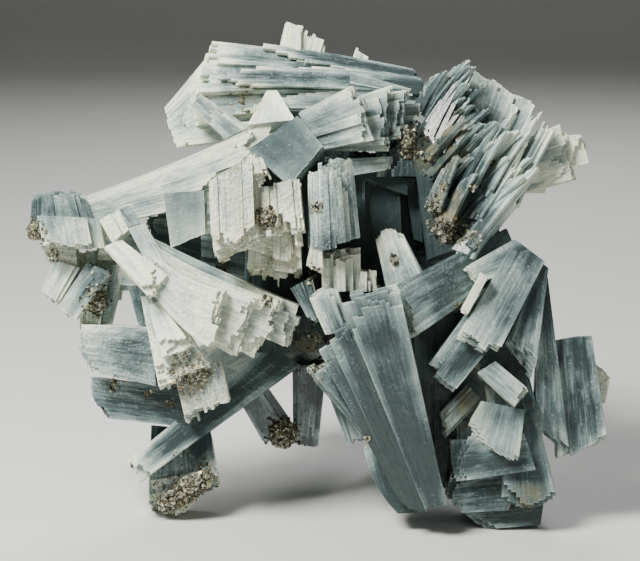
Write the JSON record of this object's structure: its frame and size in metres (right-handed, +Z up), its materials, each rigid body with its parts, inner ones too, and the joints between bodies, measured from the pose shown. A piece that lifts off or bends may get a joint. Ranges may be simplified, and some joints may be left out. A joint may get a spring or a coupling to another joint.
{
  "type": "anhydrite crystal cluster",
  "caption": "Intergrown fans of flat, bladed, pale blue-grey and white anhydrite crystals with stepped ends and small crusts of dark ore, standing on three low points.",
  "frame": {"origin": "centre of the bounding box's bottom face, on the table the cluster stands on", "axes": "+X to the right as the front is seen, +Y away from the front, +Z up"},
  "size_m": [0.1467, 0.0809, 0.1242],
  "materials": {
    "anhydrite": "satin, milky and faintly translucent",
    "ore_crust": "rough, granular"
  },
  "bodies": {
    "root": {"crystal_cluster": "anhydrite", "ore_crust_foot": "ore_crust", "ore_crust_left_fan": "ore_crust", "ore_crust_left_tip": "ore_crust", "ore_crust_back_stub": "ore_crust", "ore_crust_heart": "ore_crust", "ore_crust_ledge": "ore_crust", "ore_crust_book_root": "ore_crust", "ore_crust_crown_end": "ore_crust"}
  },
  "joints": []
}
